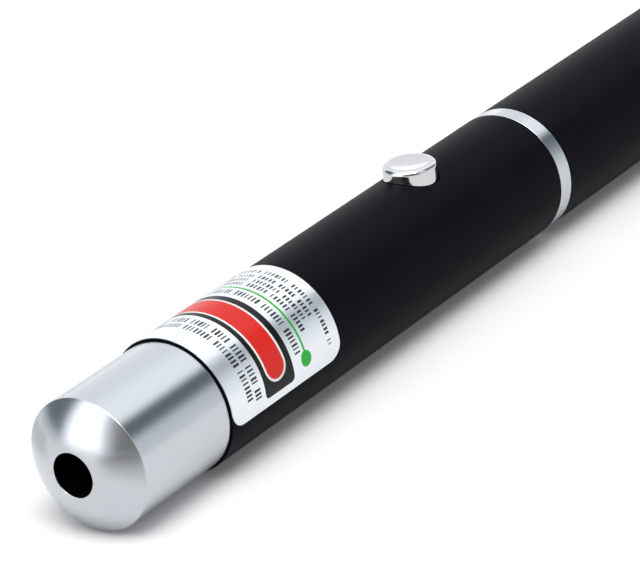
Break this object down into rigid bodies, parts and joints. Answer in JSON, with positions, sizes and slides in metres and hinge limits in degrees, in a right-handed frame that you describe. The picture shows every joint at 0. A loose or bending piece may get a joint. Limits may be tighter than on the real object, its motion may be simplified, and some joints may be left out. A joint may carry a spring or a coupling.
{
  "type": "laser pointer",
  "caption": "Pen-shaped laser pointer with a domed nose cap, foil label, push button on the barrel, screw-on rear barrel for cells and a pocket clip.",
  "frame": {"origin": "centre of the tail cap's flat end face, on the pen's axis", "axes": "+X along the pen's axis, the way the beam leaves the nose; +Z towards the push button"},
  "size_m": [0.16, 0.0163, 0.0153],
  "materials": {
    "satin_chrome": "satin",
    "polished_chrome": "polished",
    "black_paint": "satin",
    "silver_foil": "satin",
    "brass": "satin",
    "steel": "satin",
    "spring_steel": "satin",
    "lens_glass": "polished",
    "crystal": "polished",
    "board_green": "satin",
    "part_black": "matte",
    "part_blue": "satin",
    "part_yellow": "satin",
    "cell_sleeve": "satin",
    "cell_washer": "matte"
  },
  "bodies": {
    "front": {"nose_cap": "satin_chrome", "front_barrel": "black_paint", "foil_label": "silver_foil", "middle_ring": "satin_chrome", "threaded_coupler": "brass", "module_housing": "brass", "lens_barrel": "brass", "collimating_lens": "lens_glass", "lens_ring": "brass", "expander_lens": "lens_glass", "crystal_holder": "brass", "crystal_set": "crystal", "diode_sleeve": "brass", "pump_diode": "steel", "diode_lead_1": "steel", "diode_lead_2": "steel", "diode_lead_3": "steel", "driver_board": "board_green", "driver_chip": "part_black", "trimmer": "part_blue", "board_capacitor": "part_yellow", "board_resistor_1": "part_black", "board_resistor_2": "part_black", "switch_base": "part_black", "switch_cover": "steel", "switch_lead_1": "steel", "switch_lead_2": "steel", "switch_lead_3": "steel", "switch_lead_4": "steel", "contact_board": "board_green", "contact_spring": "spring_steel"},
    "button": {"button_cap": "polished_chrome", "switch_plunger": "part_black"},
    "cells": {"cell_1_can": "cell_sleeve", "cell_1_washer": "cell_washer", "cell_1_cap": "steel", "cell_2_can": "cell_sleeve", "cell_2_washer": "cell_washer", "cell_2_cap": "steel"},
    "rear": {"rear_barrel": "black_paint", "tail_cap": "satin_chrome", "tail_spring": "spring_steel"},
    "clip": {"pocket_clip": "steel"}
  },
  "joints": [
    {"name": "button_press", "type": "slide", "parent": "front", "child": "button", "axis": [0, 0, -1], "range_m": [0, 0.0005], "stiffness_N_per_m": 1500, "springref_m": -0.0003},
    {"name": "rear_unscrew", "type": "hinge", "parent": "cells", "child": "rear", "pos_m": [0, 0, 0], "axis": [-1, 0, 0], "range_deg": [0, 1800]},
    {"name": "cells_travel", "type": "slide", "parent": "front", "child": "cells", "axis": [-1, 0, 0], "range_m": [0, 0.00625]},
    {"name": "clip_flex", "type": "hinge", "parent": "rear", "child": "clip", "pos_m": [0.0039, -0.00587, -0.00382], "axis": [0, 0.5459, -0.8379], "range_deg": [0, 4], "stiffness_Nm_per_rad": 1.4, "springref_deg": -0.57}
  ],
  "couplings": [
    {"joint": "rear_unscrew", "follows": "cells_travel", "rad_per_m": 5026.5}
  ]
}
